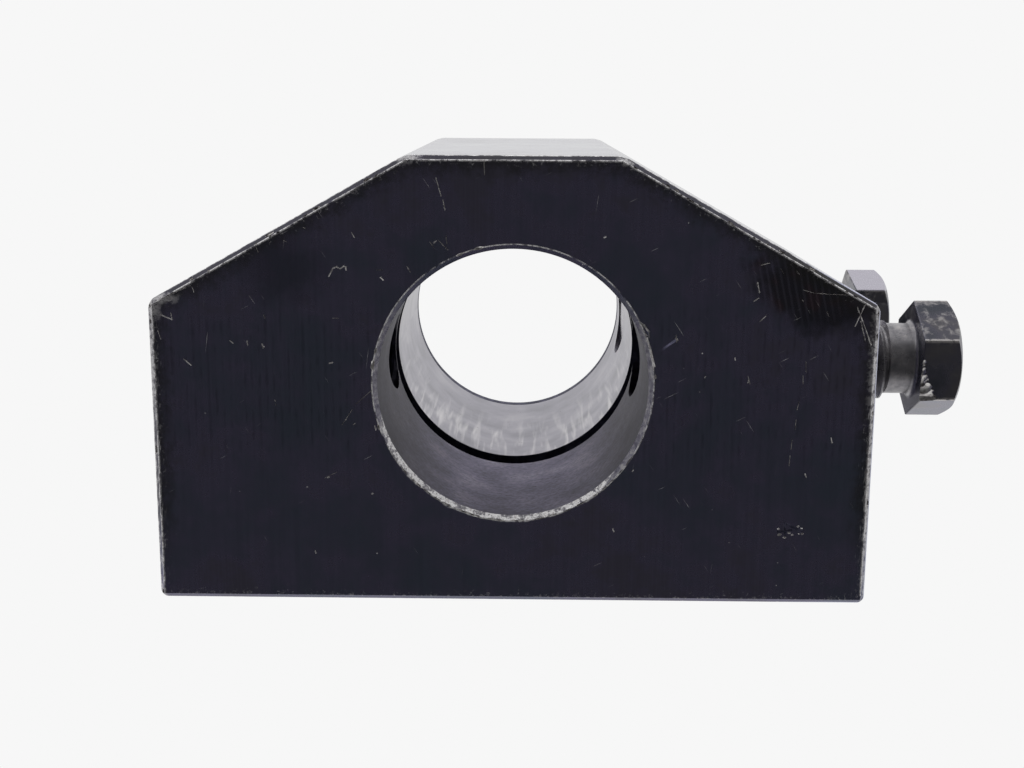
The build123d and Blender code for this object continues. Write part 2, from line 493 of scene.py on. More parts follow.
# %% Black oxide: relief and gloss
relief = put("MULTIPLY_ADD", chatter, 0.5, grain)
relief_all = put("MULTIPLY_ADD", bare, -0.8, relief)
bump = put("Bump", Height=relief_all, Strength=0.5, Distance=1e-05)
gloss = put("MapRange", broad, 0.35, 0.65, 0.22, 0.3)
grazing = put("LayerWeight", Blend=0.5)
low_view = put("MapRange", grazing.outputs["Facing"], 0.85, 0.96, 1.0, 0.45)
gloss_seen = put("MULTIPLY", gloss, low_view)
scattering = put("MapRange", bare, 0, 1, 0.85, 0.35)
feed(shader, Normal=bump, Metallic=scattering, Roughness=gloss_seen)
print("oxide nodes", len(oxide.node_tree.nodes))

# %% [markdown]
# The bore was bored and honed, and bars slid in and out of it have rubbed it almost bare
# behind the groove. In front of the groove it is duller and darker, and there its colour is
# also painted darker towards both sides, as painted shade, and darker towards the mouth.
# Behind the groove the upper wall is painted lighter, a painted reflection of the bright
# backdrop. The fine rings go round the bore and the rubbed smears run along it, so both
# need the angle round the bore: arctangent of height over width, times the radius, gives
# millimetres along the wall.

# %% Bore steel
bore_steel, put, shader, mm = metal("rubbed_bore_steel", 0.34)
at_x, at_y, at_z = put("SeparateXYZ", mm).outputs
over_axis = put("SUBTRACT", at_z, bore_height)
angle = put("ARCTAN2", over_axis, at_x)
around = put("MULTIPLY", angle, bore_radius)
wall = put("CombineXYZ", around, at_y, 0.0)
rings_at = put("Mapping", wall, Scale=(1 / 20, 1 / 0.25, 1))
rings = put("TexNoise", rings_at, Scale=1.0, Detail=2.0)
smears_at = put("Mapping", wall, Scale=(1 / 1.2, 1 / 16, 1))
smears = put("TexNoise", smears_at, Scale=1.0, Detail=2.0, Distortion=0.35)
smear_mask = put("MapRange", smears, 0.5, 0.72, 0, 0.75)
clouds = put("TexNoise", wall, Scale=1 / 7, Detail=3.0)
behind = put("MapRange", at_y, -7.0, -5.0)
dull = put("ValToRGB", clouds, stops=((0.35, "#6d687f"), (0.52, "#837e96"), (0.66, "#9892a7")))
rubbed = put("ValToRGB", clouds, stops=((0.35, "#7b7984"), (0.52, "#8f8c98"), (0.66, "#9f9ca5")))
# Painted shade: the dull wall is darkened towards both sides, and it is also darker towards the mouth.
abs_x = put("ABSOLUTE", at_x)
painted_side_shade = put("MapRange", abs_x, 8.0, 17.0, 1.0, 0.34)
darker_towards_mouth = put("MapRange", at_y, -38.0, -22.0, 0.72, 1.05)
pitted = put("TexNoise", wall, Scale=1 / 0.7, Detail=3.0, Roughness=0.6)
pitted_tone = put("MapRange", pitted, 0.34, 0.66, 0.72, 1.28)
painted_shade_and_mouth_tone = put("MULTIPLY", painted_side_shade, darker_towards_mouth)
shade_mouth_and_pit_tone = put("MULTIPLY", painted_shade_and_mouth_tone, pitted_tone)
dull_with_painted_shade = put("VectorMath", dull, shade_mouth_and_pit_tone, operation="MULTIPLY")
wall_colour = put("Mix", behind, dull_with_painted_shade, rubbed, data_type="RGBA")
past_groove = put("MapRange", at_y, 26.0, 4.0)
low_wall = put("MapRange", over_axis, 2.0, -12.0)
smear_zone = put("MULTIPLY", past_groove, low_wall)
smear_there = put("MULTIPLY", smear_zone, behind)
smear_amount = put("MULTIPLY", smear_mask, smear_there)
smeared_low = put("Mix", smear_amount, wall_colour, linear("#dedbdc"), data_type="RGBA")
# Painted reflection: the upper wall behind the groove is painted lighter, for the bright backdrop that it
# mirrors.
painted_upper_reflection = put("MapRange", over_axis, -3.0, 6.0, 0, 0.55)
painted_upper_reflection_behind = put("MULTIPLY", painted_upper_reflection, behind)
smears_and_painted_reflection = put("Mix", painted_upper_reflection_behind, smeared_low, linear("#bdbabd"), data_type="RGBA")
pits = put("TexVoronoi", wall, Scale=1 / 2.0)
pit = put("MapRange", pits.outputs["Distance"], 0.09, 0.05, 0, 0.7)
spotted = put("Mix", pit, smears_and_painted_reflection, linear("#35333c"), data_type="RGBA")
bump = put("Bump", Height=rings, Strength=0.5, Distance=1e-05)
wall_gloss = put("MapRange", behind, 0, 1, 0.52, 0.3)
feed(shader, Base_Color=spotted, Normal=bump, Roughness=wall_gloss)
print("bore steel nodes", len(bore_steel.node_tree.nodes))

# %% [markdown]
# The groove and the tapped holes never rub on anything, so they keep their coat and hold
# oil and dirt: nearly black, and dull. Where something has knocked the block, the steel is
# torn and bright. Both are simple metals with a little noise in their colour.

# %% Dark recesses and torn steel
recess, put, shader, mm = metal("oily_black_recess", 0.65, 0.55)
dirt = put("TexNoise", mm, Scale=1 / 1.5, Detail=3.0)
dirt_colour = put("ValToRGB", dirt, stops=((0.4, "#343446"), (0.65, "#545368")))
feed(shader, Base_Color=dirt_colour)

torn, put, shader, mm = metal("torn_bare_steel", 0.3)
tear = put("TexNoise", mm, Scale=1 / 0.7, Detail=3.0)
tear_colour = put("ValToRGB", tear, stops=((0.36, "#989495"), (0.5, "#c9c6c5"), (0.62, "#eeecea")))
bump = put("Bump", Height=tear, Strength=0.6, Distance=4e-05)
feed(shader, Base_Color=tear_colour, Normal=bump)
print("recess and torn steel made")

# %% [markdown]
# The block starts as its front outline, a face with six corners, pushed back to the full
# length. The sharp edges of both ends are then bevelled flat, as a file or a chamfer tool
# leaves them, and the four long edges are only broken.

# %% The block's body
def at_end(edge):
    """True for an edge that lies in the front or the back plane."""
    return all(abs(abs(v.co.y) - half_length) < 1e-3 for v in edge.verts)


block_bm = bmesh.new()
corners = (
    (-half_width, 0), (half_width, 0), (half_width, shoulder),
    (half_flat, height), (-half_flat, height), (-half_width, shoulder),
)
front = block_bm.faces.new([block_bm.verts.new((x, -half_length, z)) for x, z in corners])
pushed = bmesh.ops.extrude_face_region(block_bm, geom=[front])
bmesh.ops.translate(block_bm, vec=(0, 2 * half_length, 0), verts=points_in(pushed["geom"]))
bmesh.ops.recalc_face_normals(block_bm, faces=block_bm.faces)
bevel(block_bm, [e for e in block_bm.edges if at_end(e)], offset=0.64, segments=1)
long_edges = [e for e in block_bm.edges if abs(e.verts[0].co.y - e.verts[1].co.y) > half_length]
bevel(block_bm, long_edges, offset=0.3, segments=2)
print("body faces", len(block_bm.faces))

# %% [markdown]
# At the upper left the front face is wrinkled, as if it had been pressed while soft: small
# arched folds a millimetre or so apart, each a shallow valley whose upper side catches the
# light of the floor. They are real relief, so they get real geometry. Four cuts part a
# rectangle from the face, a grid divides it finely, and each point moves in by how near it
# is to one of the folds' lines. Creases where a noise crosses zero crumple what lies between.

# %% Wrinkles in the front face
folds = (
    (0.055, 0.4, ((-35.0, 45.9), (-34.0, 46.35), (-32.5, 46.4), (-30.8, 46.3), (-28.8, 45.7))),
    (0.03, 0.26, ((-32.3, 47.86), (-31.2, 47.73), (-29.9, 47.4))),
    (0.02, 0.2, ((-34.0, 47.37), (-32.6, 47.17))),
    (0.022, 0.26, ((-32.9, 49.65), (-31.6, 49.5), (-30.2, 49.2), (-28.9, 49.4))),
    (0.02, 0.24, ((-33.5, 48.75), (-32.1, 49.0), (-30.7, 48.9))),
    (0.024, 0.26, ((-29.9, 48.92), (-28.7, 48.85), (-27.7, 48.3))),
    (0.035, 0.26, ((-31.2, 44.6), (-30.2, 45.03), (-28.8, 45.05))),
    (0.028, 0.24, ((-32.2, 43.45), (-30.4, 43.75))),
    (0.022, 0.24, ((-32.6, 42.9), (-31.2, 42.2))),
    (0.026, 0.26, ((-28.2, 45.6), (-26.7, 45.96))),
    (0.03, 0.28, ((-26.8, 45.4), (-25.0, 45.84), (-23.2, 45.78), (-22.2, 45.35))),
    (0.022, 0.26, ((-25.9, 44.86), (-23.6, 44.25))),
    (0.024, 0.24, ((-23.4, 43.25), (-21.9, 43.45))),
    (0.022, 0.24, ((-21.6, 43.42), (-20.0, 44.1))),
    (0.022, 0.24, ((-21.2, 42.75), (-18.3, 42.4))),
    (0.02, 0.22, ((-19.0, 44.5), (-18.1, 44.1))),
    (0.014, 0.3, ((-23.3, 50.0), (-22.0, 49.9), (-20.7, 49.4))),
    (0.018, 0.24, ((-29.2, 42.3), (-28.4, 42.8), (-27.5, 42.2), (-27.6, 41.2))),
    (0.02, 0.4, ((-35.4, 44.4), (-34.2, 44.2))),
)
crumples = (
    (-31.3, 46.4, 5.0, 3.4), (-22.6, 44.5, 5.0, 2.0), (-30.6, 49.2, 3.0, 1.5), (-28.4, 42.0, 1.6, 1.4),
)
left, right, bottom, top = -36.5, -16.5, 40.2, 50.4


def wrinkle(x, z):
    """How far the face stands in at this place, in millimetres."""
    inside = min(x - left, right - x, z - bottom, top - z)
    fade = max(0.0, min(1.0, inside))
    drift = noise.noise(Vector((x / 0.9, 2.0, z / 0.9)))
    here = Vector((x + 0.2 * drift, 0, z + 0.16 * drift))
    deepest = 0.0
    for depth, half, line in folds:
        for start, end in zip(line, line[1:]):
            start, end = Vector((start[0], 0, start[1])), Vector((end[0], 0, end[1]))
            share = max(0.0, min(1.0, intersect_point_line(here, start, end)[1]))
            away = (here - start.lerp(end, share)).length / (1.2 * half)
            deepest = max(deepest, depth * exp(-away * away))
    crease = 1 - min(1.0, 3.6 * abs(noise.noise(Vector((x / 1.7 + 0.6 * drift, 9.0, z / 0.85)))))
    crumpled = 0.0
    for middle_x, middle_z, wide, tall in crumples:
        reach = ((x - middle_x) / wide) ** 2 + ((z - middle_z) / tall) ** 2
        crumpled = max(crumpled, exp(-2.0 * reach * reach))
    return fade * (0.5 * deepest + 0.032 * crumpled * crease)


low, high = Vector((left, -half_length, bottom)), Vector((right, -half_length, top))


def front_face():
    """The front face's part that holds the middle of the wrinkled rectangle."""
    flat = [f for f in block_bm.faces if f.normal.y < -0.99]
    return next(f for f in flat if bmesh.geometry.intersect_face_point(f, (low + high) / 2))


for place, way in ((low, across), (high, across), (low, upward), (high, upward)):
    face = front_face()
    bmesh.ops.bisect_plane(block_bm, geom=[face, *face.edges, *face.verts], plane_co=place, plane_no=way)
face = front_face()
print("parted face", len(face.edges), "edges, area", round(face.calc_area(), 1), "mm2")
bmesh.ops.subdivide_edges(block_bm, edges=face.edges, cuts=96, use_grid_fill=True)
for vert in block_bm.verts:
    if abs(vert.co.y + half_length) < 1e-3 and low.x < vert.co.x < high.x and low.z < vert.co.z < high.z:
        vert.co.y += wrinkle(vert.co.x, vert.co.z)
block = shape(block_bm, "holder_body", oxide)

# %% [markdown]
# The bore and its groove are one turned cutter. Its outline widens at both ends for the
# mouths' chamfers and steps out for the groove. The groove's faces and a band just inside
# the back mouth get the dark material, the chamfers keep the block's coat, and the rest is
# bore steel.

# %% Bore and groove
mouth, groove_radius = 0.63, 21.45
groove_front, groove_back = -8.73, -3.97
back_band = 35.2
bore_outline = (
    (-half_length - 2, 0), (-half_length - 2, bore_radius + mouth + 2), (-half_length + mouth, bore_radius),
    (groove_front - 0.12, bore_radius), (groove_front, bore_radius + 0.12), (groove_front, groove_radius),
    (groove_back, groove_radius), (groove_back, bore_radius + 0.12), (groove_back + 0.12, bore_radius),
    (back_band, bore_radius), (half_length - mouth, bore_radius),
    (half_length + 2, bore_radius + mouth + 2), (half_length + 2, 0),
)
bore_bm = turned(bore_outline, inward, upward, 192)
for face in bore_bm.faces:
    centre = face.calc_center_median()
    in_groove = groove_front - 0.2 < centre.y < groove_back + 0.2
    if in_groove and Vector((centre.x, centre.z)).length > bore_radius + 0.02:
        face.material_index = 2
    elif back_band < centre.y < half_length - mouth:
        face.material_index = 2
    elif abs(centre.y) < half_length - mouth:
        face.material_index = 1
bmesh.ops.translate(bore_bm, vec=(0, 0, bore_height), verts=bore_bm.verts)
combine(block, shape(bore_bm, "bore_cutter", oxide, bore_steel, recess), "DIFFERENCE")
print("after the bore", len(block.data.polygons), "faces")

# %% [markdown]
# The two holes for the clamp screws come in from the right. They are left plain at the
# thread's outside size, because the screws slide in them when the model moves. The front
# one was tapped straight through the bore into the far wall, where its thread shows as a
# ragged dark lobe beside the groove. The four holes in the base hold no screw, so they get
# their full thread, a countersink and a drilled point.

# %% Tapped holes
thread_radius, thread_root = 6.35, 5.29
front_screw_y, rear_screw_y = -14.7, 23.4


def repeated(bm, places):
    """Copy everything in the bmesh to each of these places."""
    first = bm.verts[:] + bm.edges[:] + bm.faces[:]
    for place in places:
        copied = bmesh.ops.duplicate(bm, geom=first)["geom"]
        bmesh.ops.translate(bm, vec=place, verts=points_in(copied))
    bmesh.ops.delete(bm, geom=points_in(first), context="VERTS")


rubbed_to = 22
hole_outline = (
    (0, 0), (0, thread_radius), (rubbed_to, thread_radius), (half_width - 0.8, thread_radius),
    (half_width + 2, thread_radius + 2.8), (half_width + 2, 0),
)
hole_bm = turned(hole_outline, across, upward, 64)
for face in hole_bm.faces:
    face.material_index = 1 if face.calc_center_median().x < rubbed_to else 0
repeated(hole_bm, [(0, front_screw_y, bore_height), (0, rear_screw_y, bore_height)])
combine(block, shape(hole_bm, "screw_hole_cutter", recess, bore_steel), "DIFFERENCE")

far_bm = threaded(thread_radius, thread_root, 0.24, 10.0, 25.0, -across, upward)
bmesh.ops.translate(far_bm, vec=(0, front_screw_y, bore_height), verts=far_bm.verts)
combine(block, shape(far_bm, "far_wall_cutter", recess), "DIFFERENCE")

base_places = [(x, y, 0) for x in (-38.1, 38.1) for y in (-25.4, 25.4)]
tap_bm = threaded(thread_radius, thread_root, 0.24, -1.0, 15.6, upward, across)
repeated(tap_bm, base_places)
combine(block, shape(tap_bm, "tap_cutter", recess), "DIFFERENCE")
sink_outline = ((-2, 0), (-2, 9.15), (1.86, thread_root), (15.8, thread_root), (19.0, 0))
sink_bm = turned(sink_outline, upward, across, 48)
repeated(sink_bm, base_places)
combine(block, shape(sink_bm, "countersink_cutter", recess), "DIFFERENCE")
print("after the tapped holes", len(block.data.polygons), "faces")

# %% [markdown]
# Knocks are cut with small uneven lumps: a ball whose points are moved in and out by noise
# and which is then squashed. Long flat ones follow the lower rim of the bore, and a few
# nicks sit on the edges of the slopes and the corners. Their surface is torn steel.

# %% Knocks and nicks
dice = random.Random(7)


def lump(bm, centre, size, turn=0.0, rough=0.35):
    """Add an uneven ball with these three half sizes, turned about the Y axis."""
    made = bmesh.ops.create_icosphere(bm, subdivisions=2, radius=1.0)["verts"]
    shift = Vector((dice.uniform(0, 50), dice.uniform(0, 50), dice.uniform(0, 50)))
    for vert in made:
        vert.co *= 1.0 + rough * noise.noise(vert.co * 2.1 + shift)
    bmesh.ops.scale(bm, vec=size, verts=made)
    bmesh.ops.rotate(bm, cent=(0, 0, 0), matrix=Matrix.Rotation(turn, 3, "Y"), verts=made)
    bmesh.ops.translate(bm, vec=centre, verts=made)


def on_rim(degrees, radius):
    """A point in the front face at this angle round the bore and this distance from its axis."""
    angle = radians(degrees)
    return Vector((radius * cos(angle), -half_length, bore_height + radius * sin(angle)))


knock_bm = bmesh.new()
for step in range(24):
    degrees = -140 + step * 4.6 + dice.uniform(-2.0, 2.0)
    size = dice.uniform(0.4, 1.0)
    place = on_rim(degrees, 19.66 + dice.uniform(-0.05, 0.1))
    lump(knock_bm, place, (dice.uniform(0.08, 0.16), 0.14, size), turn=radians(-degrees), rough=0.25)
for degrees, radius, size in (
    (4, 19.95, 0.34), (1.5, 19.85, 0.2), (112, 19.7, 0.5), (104, 19.7, 0.7),
    (166, 19.7, 0.5), (172, 19.7, 0.8), (198, 19.85, 0.45),
):
    lump(knock_bm, on_rim(degrees, radius), (size * 0.4, 0.2, size), turn=radians(-degrees), rough=0.25)
combine(block, shape(knock_bm, "knock_cutter", torn), "DIFFERENCE", overlaps=True)

nick_bm = bmesh.new()
slope_angle = radians(29.5)
for x, z in (
    (20.9, 59.5), (22.1, 58.9), (29.5, 54.6), (36.8, 50.6), (41.0, 48.3),
    (-27.0, 56.2), (-33.6, 52.6), (-44.5, 46.3), (-20.0, 60.1),
):
    size = (dice.uniform(0.3, 0.7), 0.3, 0.22)
    lump(nick_bm, (x, -half_length + 0.25, z), size, turn=copysign(slope_angle, x))
for x in [dice.uniform(16, 48) for _ in range(16)] + [dice.uniform(-46, -16) for _ in range(8)]:
    z = height - (abs(x) - half_flat) * slope_x / slope_z - dice.uniform(0.55, 0.8)
    size = (dice.uniform(0.15, 0.45), 0.2, 0.13)
    lump(nick_bm, (x, -half_length + 0.1, z), size, turn=copysign(slope_angle, x))
for x, z in (
    (-50.5, 42.6), (-50.5, 40.4), (50.5, 42.2), (50.5, 39.0),
    (-50.4, 0.9), (50.5, 15.0), (-50.5, 22.0), (50.5, 28.0),
):
    lump(nick_bm, (x, -half_length + 0.3, z), (0.25, 0.3, dice.uniform(0.3, 0.8)))
combine(block, shape(nick_bm, "nick_cutter", torn), "DIFFERENCE", overlaps=True)
print("after the knocks", len(block.data.polygons), "faces")

# %% [markdown]
# The deeper scratches of the front face are scored one by one, because each has its own
# place. A scratch is a chain of wedges: a long cube whose inner side is pinched to a line,
# laid along each straight part. The figure 4 in the lower right was made by a punch,
# askew, and is three wedges too. The punch threw up small bright burrs beside its strokes.

# %% Scratches and the punched figure
def wedge(bm, start, end, width, depth):
    """Add a pinched cube along a line in the front face, from start to end, each (x, z)."""
    first, last = Vector((start[0], 0, start[1])), Vector((end[0], 0, end[1]))
    made = bmesh.ops.create_cube(bm, size=1.0)["verts"]
    for vert in made:
        if vert.co.y > 0:
            vert.co.z *= 0.1
    bmesh.ops.scale(bm, vec=((last - first).length + width, 2 * depth, width * 1.8), verts=made)
    turn = across.rotation_difference(last - first).to_matrix()
    bmesh.ops.rotate(bm, cent=(0, 0, 0), matrix=turn, verts=made)
    bmesh.ops.translate(bm, vec=(first + last) / 2 - inward * half_length, verts=made)


scratch_lines = (
   
    (0.17, (-25.45, 46.91), (-24.91, 47.95), (-24.39, 48.21), (-23.88, 47.96),
     (-23.36, 48.31), (-23.1, 48.22), (-23.05, 47.79)),
    (0.1, (39.94, 45.48), (41.51, 45.06), (43.92, 44.9), (45.63, 44.87)),
    (0.12, (33.97, 48.89), (35.07, 49.15)), (0.15, (47.44, 43.11), (49.63, 37.88)),
    (0.14, (47.24, 40.49), (48.46, 43.46)), (0.12, (47.98, 41.2), (48.73, 38.57)),
    (0.14, (33.55, 46.47), (33.87, 45.09)), (0.12, (33.14, 43.87), (33.81, 44.31)),
    (0.12, (34.12, 41.09), (34.86, 41.79)), (0.1, (43.27, 42.47), (43.52, 41.86)),
    (0.1, (39.84, 44.09), (40.02, 43.75)), (0.1, (36.64, 48.39), (37.1, 47.71)),
    (0.1, (38.88, 48.06), (39.24, 47.64)), (0.12, (-22.16, 52.95), (-21.82, 52.27)),
    (0.16, (-18.3, 46.79), (-17.96, 46.44)), (0.08, (-18.88, 47.82), (-18.02, 47.83)),
    (0.1, (-34.6, 41.44), (-34.43, 41.0)), (0.08, (-25.05, 41.07), (-24.18, 41.08)),
    (0.1, (-28.83, 53.59), (-28.6, 53.51)), (0.09, (-31.54, 51.78), (-31.2, 51.61)),
    (0.09, (-35.35, 50.81), (-35.11, 50.12)), (0.1, (40.73, 35.41), (40.8, 33.99)),
    (0.1, (40.41, 33.42), (40.46, 32.29)), (0.1, (39.8, 28.57), (40.03, 29.71)),
    (0.1, (39.65, 25.69), (39.73, 27.13)), (0.09, (39.23, 22.79), (39.3, 24.24)),
    (0.09, (39.05, 20.46), (39.13, 21.92)), (0.09, (32.77, 33.36), (33.09, 32.23)),
    (0.08, (-24.02, 25.86), (-22.57, 28.04)), (0.08, (-21.99, 28.9), (-19.72, 30.93)),
    (0.07, (-26.58, 18.11), (-24.86, 19.0)), (0.12, (-10.59, 60.43), (-9.92, 58.0)),
    (0.12, (-9.65, 57.46), (-9.38, 56.11)), (0.1, (-4.07, 62.88), (-4.0, 60.87)),
    (0.1, (-11.46, 51.73), (-10.91, 50.91)), (0.1, (-10.36, 52.01), (-8.99, 50.65)),
    (0.1, (-9.26, 52.56), (-9.13, 51.47)), (0.24, (22.6, 38.6), (22.8, 38.35)),
    (0.1, (22.6, 39.0), (22.7, 38.0)), (0.14, (-34.96, 37.35), (-34.84, 36.79)),
    (0.14, (-37.04, 37.76), (-36.92, 37.2)), (0.16, (-19.37, 25.75), (-19.23, 25.18)),
    (0.14, (44.75, 24.58), (44.93, 23.85)), (0.14, (41.36, 19.31), (41.52, 18.88)),
    (0.14, (14.42, 10.95), (14.58, 10.5)), (0.12, (-14.6, 48.3), (-14.2, 47.6)),
    (0.13, (-49.03, 41.4), (-47.39, 40.71)), (0.12, (-47.49, 41.62), (-47.39, 40.78)),
    (0.12, (-49.41, 39.08), (-49.05, 37.95)), (0.12, (-49.4, 43.3), (-44.68, 45.5)),
    (0.1, (-44.42, 45.28), (-44.17, 44.58)), (0.12, (-39.41, 37.81), (-39.01, 37.46)),
    (0.14, (-45.95, 35.14), (-45.0, 34.29)), (0.2, (-34.85, 36.97), (-34.7, 36.97)),
    (0.1, (-33.37, 29.38), (-33.35, 29.2)), (0.1, (-33.27, 28.8), (-33.25, 28.6)),
    (0.18, (-26.2, 18.2), (-26.0, 18.25)), (0.16, (-25.6, 34.7), (-25.2, 34.8)),
    (0.16, (-19.95, 15.8), (-19.8, 15.9)), (0.12, (26.75, 33.1), (26.85, 33.25)),
    (0.12, (32.8, 32.4), (32.84, 32.75)), (0.14, (30.85, 35.9), (30.9, 35.6)),
    (0.14, (-10.95, 51.6), (-10.6, 51.9)), (0.16, (17.0, 19.5), (17.1, 19.65)),
    (0.16, (12.4, 52.5), (12.6, 52.6)), (0.12, (-28.2, 7.3), (-28.1, 6.9)),
    (0.12, (-23.6, 26.5), (-23.4, 26.7)), (0.12, (-22.4, 25.95), (-22.2, 26.1)),
    (0.26, (17.42, 40.85), (18.1, 40.4), (18.8, 39.5)), (0.12, (17.3, 40.3), (18.6, 38.95)),
    (0.12, (17.4, 39.6), (18.5, 38.3)), (0.12, (17.6, 38.9), (18.8, 37.6)),
    (0.1, (17.9, 37.9), (18.95, 37.0)), (0.1, (18.2, 36.6), (18.8, 35.85)),
    (0.18, (18.6, 38.6), (19.03, 37.35), (19.42, 35.8), (19.75, 34.6)), (0.1, (18.8, 39.5), (18.86, 38.7)),
)
score_bm = bmesh.new()
for width, *chain in scratch_lines:
    for start, end in zip(chain, chain[1:]):
        wedge(score_bm, start, end, width, 0.05)
combine(block, shape(score_bm, "scratch_cutter", torn), "DIFFERENCE", overlaps=True)

punch_bm = bmesh.new()
for start, end in (
    ((38.8, 12.05), (41.25, 10.85)), ((38.8, 12.05), (38.95, 10.3)), ((38.0, 10.75), (39.7, 11.0)),
):
    wedge(punch_bm, start, end, 0.38, 0.11)
combine(block, shape(punch_bm, "punch_cutter", recess), "DIFFERENCE", overlaps=True)
burr_bm = bmesh.new()
for x, z, size in (
    (38.15, 10.35, 0.34), (38.9, 9.95, 0.3), (39.5, 10.6, 0.26), (39.95, 10.3, 0.2), (37.95, 11.2, 0.2),
    (40.75, 11.6, 0.22), (41.25, 11.3, 0.2), (41.4, 10.5, 0.26), (40.9, 10.5, 0.16),
):
    lump(burr_bm, (x, -half_length + 0.06, z), (size, 0.12, size * 0.7))
combine(block, shape(burr_bm, "burrs", torn), "UNION", overlaps=True)
print("scratches", len(scratch_lines), "faces", len(block.data.polygons))
finish_piece(block, "holder_body", "holder", "black_oxide_steel", "holder_block")

# %% [markdown]
# The screws have black oxide too, over turned threads and milled or forged heads, scuffed
# by spanners. The corners of a head lose their coat first, and the flat tip, which bears on
# the bars, is rubbed pale. The neck and the thread beside the head are painted a lighter
# grey, painted light where they sit in shade between the block and the head. The flats of a
# head are painted lighter or darker by facet, the lowest lighter and the upper ones darker,
# as painted light and shade, and the top flat of the rear head is a pale painted highlight.
# Both screws lie at the same height, so the distance from either axis comes from one
# formula: fold the length at the middle between them, and measure from the folded axis.
# The rear screw stands further in, so its places along X are moved before they are used.

# %% Screw steel
screw_steel, put, shader, mm = metal("scuffed_black_oxide_screw", 0.3, 0.75)
at_x, at_y, at_z = put("SeparateXYZ", mm).outputs
between = put("SUBTRACT", at_y, (front_screw_y + rear_screw_y) / 2)
folded = put("ABSOLUTE", between)
off_axis = put("SUBTRACT", folded, (rear_screw_y - front_screw_y) / 2)
over_axis = put("SUBTRACT", at_z, bore_height)
from_axis = put("CombineXYZ", 0.0, off_axis, over_axis)
radius = put("VectorMath", from_axis, operation="LENGTH")
cloud = put("TexNoise", mm, Scale=1 / 6, Detail=3.0)
coat = put("ValToRGB", cloud, stops=((0.36, "#51545d"), (0.5, "#5f5e6a"), (0.62, "#656368")))
scuff = put("TexNoise", mm, Scale=1 / 1.5, Detail=5.0, Roughness=0.65, Distortion=0.3)
scuff_mask = put("MapRange", scuff, 0.5, 0.64, 0, 0.48)
upper_side = put("MapRange", over_axis, 3.4, 4.3, 0.06)
scuffed = put("MULTIPLY", scuff_mask, upper_side)
corner_wear = put("MapRange", radius, 8.95, 9.08)
scuff_fine = put("MapRange", scuff, 0.42, 0.52)
corner_bare = put("MULTIPLY", corner_wear, scuff_fine)
bare = put("MAXIMUM", scuffed, corner_bare)
# Painted light: the neck and the thread beside the head are made a lighter grey to lift their shade.
mottle = put("TexNoise", mm, Scale=1 / 1.8, Detail=5.0, Roughness=0.65)
painted_neck_light = put("ValToRGB", mottle, stops=((0.34, "#717075"), (0.5, "#868488"), (0.66, "#9d9a9d")))
slim = put("LESS_THAN", radius, 6.36)
at_rear = put("GREATER_THAN", at_y, 12.0)
standoff_difference, neck_middle, neck_half, bearing, disc_radius = 1.5, 56.2, 5.1, 61.6, 7.7
along = put("MULTIPLY_ADD", at_rear, standoff_difference, at_x)
before_head = put("COMPARE", along, neck_middle, neck_half)
on_neck = put("MULTIPLY", slim, before_head)
with_painted_neck_light = put("Mix", on_neck, coat, painted_neck_light, data_type="RGBA")
past_bearing = put("GREATER_THAN", along, bearing)
past_disc = put("GREATER_THAN", radius, disc_radius)
on_flats = put("MULTIPLY", past_bearing, past_disc)
# Painted highlight: the top flat of the rear head is made pale.
high_up = put("GREATER_THAN", over_axis, 6.15)
high_flat = put("MULTIPLY", high_up, on_flats)
painted_rear_top_highlight = put("MULTIPLY", at_rear, high_flat)
# Painted light and shade: the lowest flat of each head is made lighter, and the upper flats darker.
painted_low_flat_light = put("MapRange", over_axis, -5.1, -4.95, 1.8, 1.0)
painted_high_flat_shade = put("MapRange", over_axis, 4.05, 4.25, 1.0, 0.7)
painted_facet_light_and_shade = put("MULTIPLY", painted_low_flat_light, painted_high_flat_shade)
painted_head_tone = put("Mix", on_flats, 1.0, painted_facet_light_and_shade)
with_painted_facet_tone = put("VectorMath", with_painted_neck_light, painted_head_tone, operation="MULTIPLY")
worn = put("Mix", bare, with_painted_facet_tone, linear("#bdb9b8"), data_type="RGBA")
with_painted_top_highlight = put("Mix", painted_rear_top_highlight, worn, linear("#aba8b3"), data_type="RGBA")
at_tip = put("LESS_THAN", at_x, 21.2)
colour = put("Mix", at_tip, with_painted_top_highlight, linear("#a4a1aa"), data_type="RGBA")
turning_at = put("Mapping", mm, Scale=(1 / 0.2, 1 / 8, 1 / 8))
turning = put("TexNoise", turning_at, Scale=1.0, Detail=2.0)
bump = put("Bump", Height=turning, Strength=0.5, Distance=1e-05)
screw_gloss = put("MapRange", cloud, 0.35, 0.65, 0.22, 0.32)
feed(shader, Base_Color=colour, Normal=bump, Roughness=screw_gloss)
print("screw steel nodes", len(screw_steel.node_tree.nodes))

# %% [markdown]
# A clamp screw is built along X with the underside of its head at the origin. The threaded
# rod is kept only where it lies inside a turned envelope with a chamfer at both ends, which
# is how a real thread runs out. The neck is turned, with a round flare under the head. The
# head is a six-sided prism with slightly rounded edges, and a shallow cone takes off its
# outer corners, which leaves the curved tops of the flats.

# %% Clamp screws
head_flats, head_height, crown_radius, neck_length, screw_length = 15.875, 6.0, 7.55, 4.2, 40.64
head_corner = head_flats / 2 / cos(radians(30))
crown_drop = (head_corner - crown_radius) * tan(radians(30))
crest_radius = 6.3


